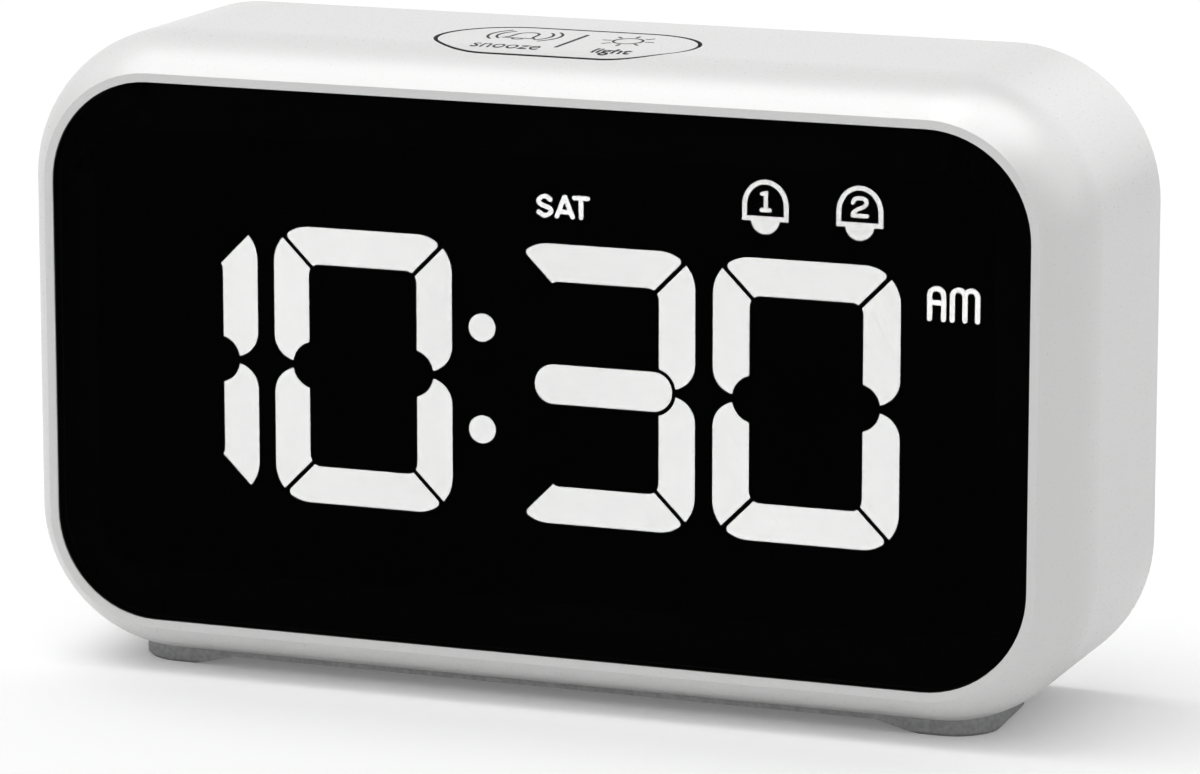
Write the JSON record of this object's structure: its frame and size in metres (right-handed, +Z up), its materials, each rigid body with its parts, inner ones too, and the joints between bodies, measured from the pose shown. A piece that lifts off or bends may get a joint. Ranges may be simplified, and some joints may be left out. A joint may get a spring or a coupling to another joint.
{
  "type": "digital alarm clock",
  "caption": "Rounded white desk alarm clock with a dark window, large lit segment digits, a flush snooze and light button on top, a rubber base pad and rear set keys over a battery bay.",
  "frame": {"origin": "centre of the case's footprint, on the table that the rubber feet stand on", "axes": "+X to the right as the clock is read, +Y from the front to the back, +Z up; the front faces -Y"},
  "size_m": [0.15, 0.0384, 0.0875],
  "materials": {
    "case_white": "satin moulded ABS",
    "pad_rubber": "matt grey rubber",
    "window_tint": "dark tinted acrylic",
    "black_film": "black film",
    "cell_glass": "thin clear glass",
    "dark_glass": "glass behind a dark polariser",
    "lit_segment": "back-lit display segment",
    "clear_acrylic": "clear acrylic",
    "white_sheet": "white film",
    "board_green": "solder mask on fibreglass",
    "lamp_resin": "lamp resin",
    "zebra_rubber": "silicone connector",
    "inner_plastic": "inner moulding",
    "black_resin": "black epoxy",
    "steel": "zinc-plated steel",
    "capacitor_sleeve": "shrink sleeve",
    "button_white": "satin moulded ABS",
    "spring_steel": "nickel-plated spring wire",
    "switch_black": "black nylon",
    "plunger_grey": "moulded acetal",
    "cover_white": "satin moulded ABS",
    "key_grey": "grey moulded ABS",
    "cell_wrap": "plain dark cell sleeve",
    "contact_metal": "nickel-plated strip",
    "door_white": "satin moulded ABS",
    "brass_disc": "thin brass disc",
    "ceramic_disc": "silvered ceramic",
    "wire_red": "wire sleeve",
    "wire_black": "wire sleeve",
    "ribbon_grey": "flat cable sleeve"
  },
  "bodies": {
    "case": {"main_housing": "case_white", "base_pad": "pad_rubber", "front_window": "window_tint", "window_tape": "black_film", "lcd_front_glass": "cell_glass", "lcd_rear_glass": "dark_glass", "lcd_seal": "black_film", "lcd_segments": "lit_segment", "light_guide": "clear_acrylic", "reflector_sheet": "white_sheet", "led_strips": "board_green", "backlight_leds": "lamp_resin", "zebra_strip": "zebra_rubber", "lcd_holder": "inner_plastic", "main_board": "board_green", "main_chip": "black_resin", "crystal": "steel", "board_capacitors": "capacitor_sleeve", "board_screws": "steel", "holder_screws": "steel", "snooze_board": "board_green", "snooze_springs": "spring_steel", "snooze_switch": "switch_black", "snooze_screws": "steel", "rear_cover": "cover_white", "cover_screws": "steel", "key_switches": "switch_black", "key_board": "board_green", "key_board_screws": "steel", "slide_switch": "switch_black", "battery_cells": "cell_wrap", "contact_plates": "contact_metal", "contact_springs": "spring_steel", "buzzer_plate": "brass_disc", "buzzer_ceramic": "ceramic_disc", "battery_wires": "wire_red", "buzzer_wires": "wire_black", "snooze_wires": "wire_black", "ribbon_cable": "ribbon_grey"},
    "snooze": {"snooze_button": "button_white", "snooze_plunger": "plunger_grey"},
    "mode_key": {"mode_button": "key_grey", "mode_plunger": "plunger_grey"},
    "hour_key": {"hour_button": "key_grey", "hour_plunger": "plunger_grey"},
    "minute_key": {"minute_button": "key_grey", "minute_plunger": "plunger_grey"},
    "alarm_key": {"alarm_button": "key_grey", "alarm_plunger": "plunger_grey"},
    "slide": {"slide_knob": "key_grey", "slide_lever": "plunger_grey"},
    "door": {"battery_door": "door_white"}
  },
  "joints": [
    {"name": "snooze_press", "type": "slide", "parent": "case", "child": "snooze", "axis": [0, 0, -1], "range_m": [0, 0.0012], "stiffness_N_per_m": 600, "springref_m": -0.001, "deforming": ["snooze_springs"]},
    {"name": "mode_press", "type": "slide", "parent": "case", "child": "mode_key", "axis": [0, -1, 0], "range_m": [0, 0.0008], "stiffness_N_per_m": 900, "springref_m": -0.0005},
    {"name": "hour_press", "type": "slide", "parent": "case", "child": "hour_key", "axis": [0, -1, 0], "range_m": [0, 0.0008], "stiffness_N_per_m": 900, "springref_m": -0.0005},
    {"name": "minute_press", "type": "slide", "parent": "case", "child": "minute_key", "axis": [0, -1, 0], "range_m": [0, 0.0008], "stiffness_N_per_m": 900, "springref_m": -0.0005},
    {"name": "alarm_press", "type": "slide", "parent": "case", "child": "alarm_key", "axis": [0, -1, 0], "range_m": [0, 0.0008], "stiffness_N_per_m": 900, "springref_m": -0.0005},
    {"name": "slide_shift", "type": "slide", "parent": "case", "child": "slide", "axis": [1, 0, 0], "range_m": [-0.002, 0.002]},
    {"name": "door_swing", "type": "hinge", "parent": "case", "child": "door", "pos_m": [0, 0.01695, 0.00985], "axis": [-1, 0, 0], "range_deg": [0, 90]}
  ]
}
